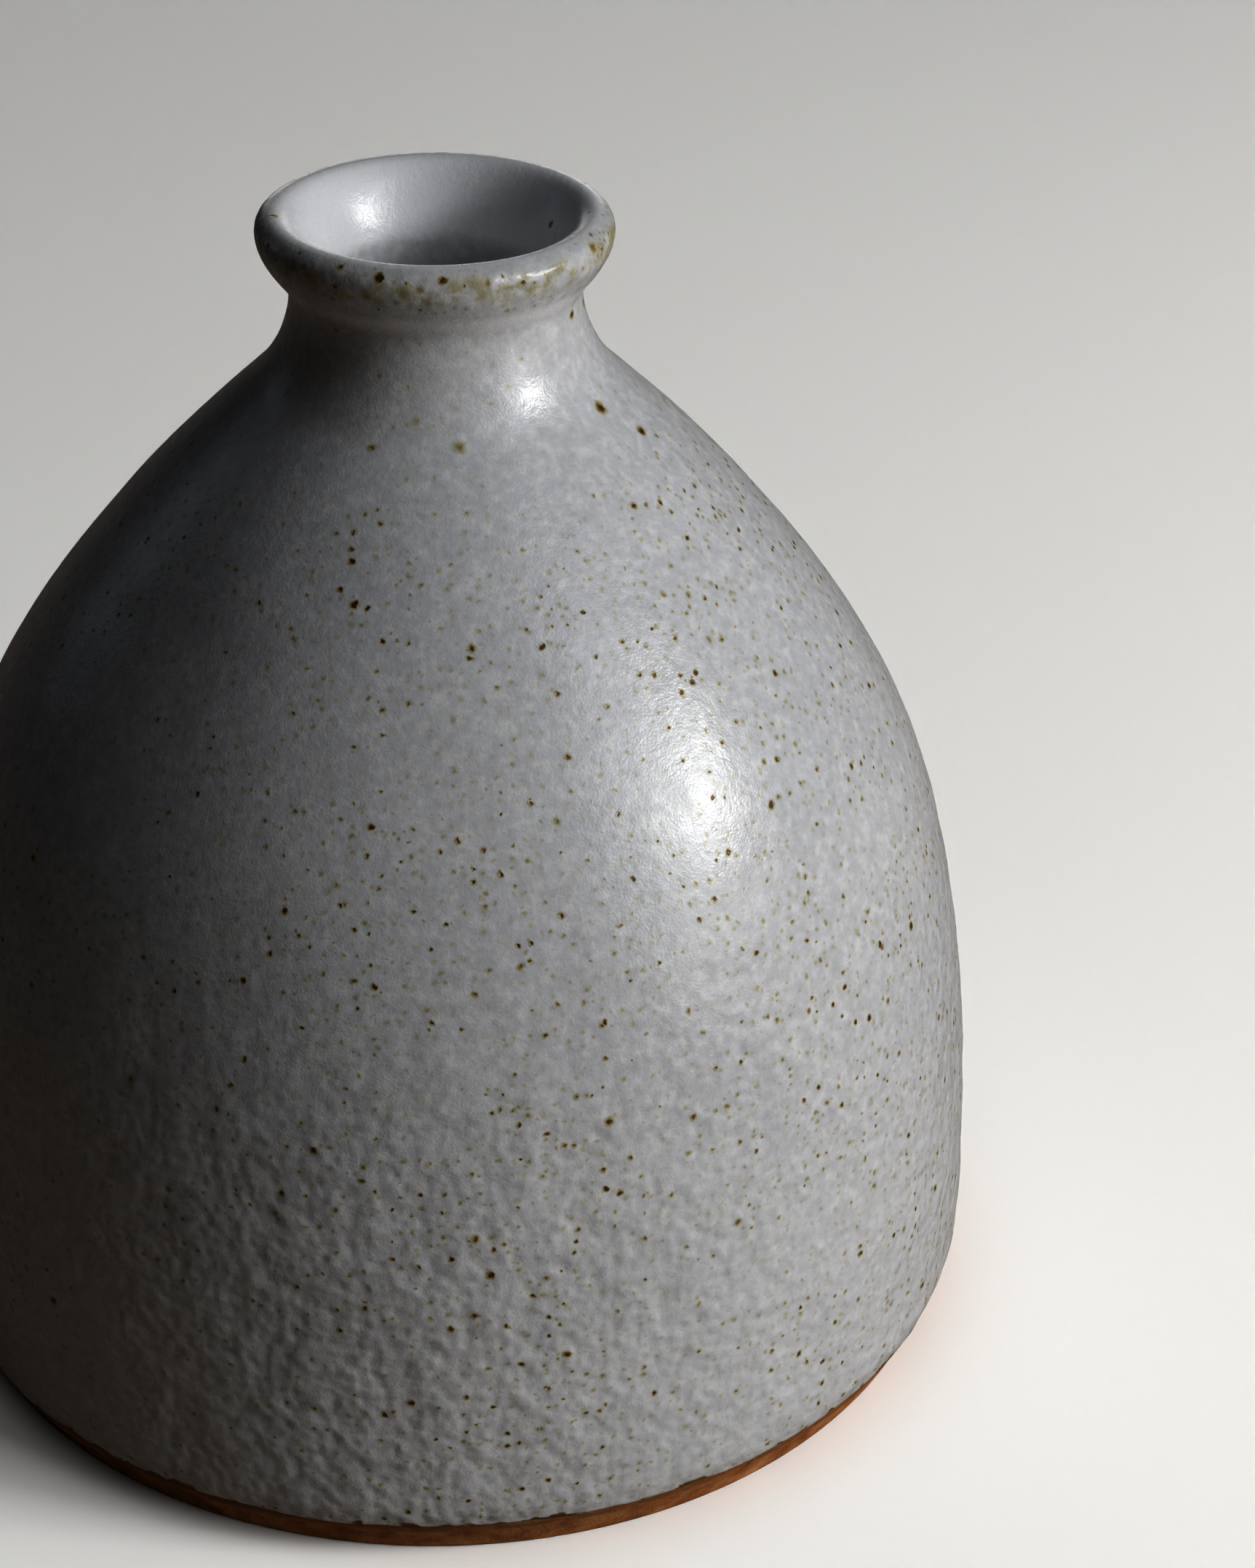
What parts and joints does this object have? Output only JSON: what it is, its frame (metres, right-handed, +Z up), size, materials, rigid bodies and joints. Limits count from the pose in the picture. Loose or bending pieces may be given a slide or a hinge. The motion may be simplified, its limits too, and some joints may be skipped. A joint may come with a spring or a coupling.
{
  "type": "bud vase",
  "caption": "Small thrown stoneware bud vase: wide bare-clay foot, straight belly curving into a cone-like shoulder, short narrow neck and a rolled flared lip, speckled pale glaze.",
  "frame": {"origin": "centre of the foot, on the plane that the vase stands on", "axes": "+Z up along the vase's axis, from the foot to the mouth; X and Y are free, because the vase is turned"},
  "size_m": [0.09, 0.09, 0.0949],
  "materials": {
    "stoneware": "bare fired stoneware, matte, fine grit, toasted brown at the glaze line",
    "speckled_glaze": "satin cool white glaze with olive and brown iron specks",
    "liner_glaze": "smooth glossy cool white liner glaze, few specks"
  },
  "bodies": {
    "root": {"clay_body": "stoneware", "outer_glaze": "speckled_glaze", "inner_glaze": "liner_glaze"}
  },
  "joints": []
}
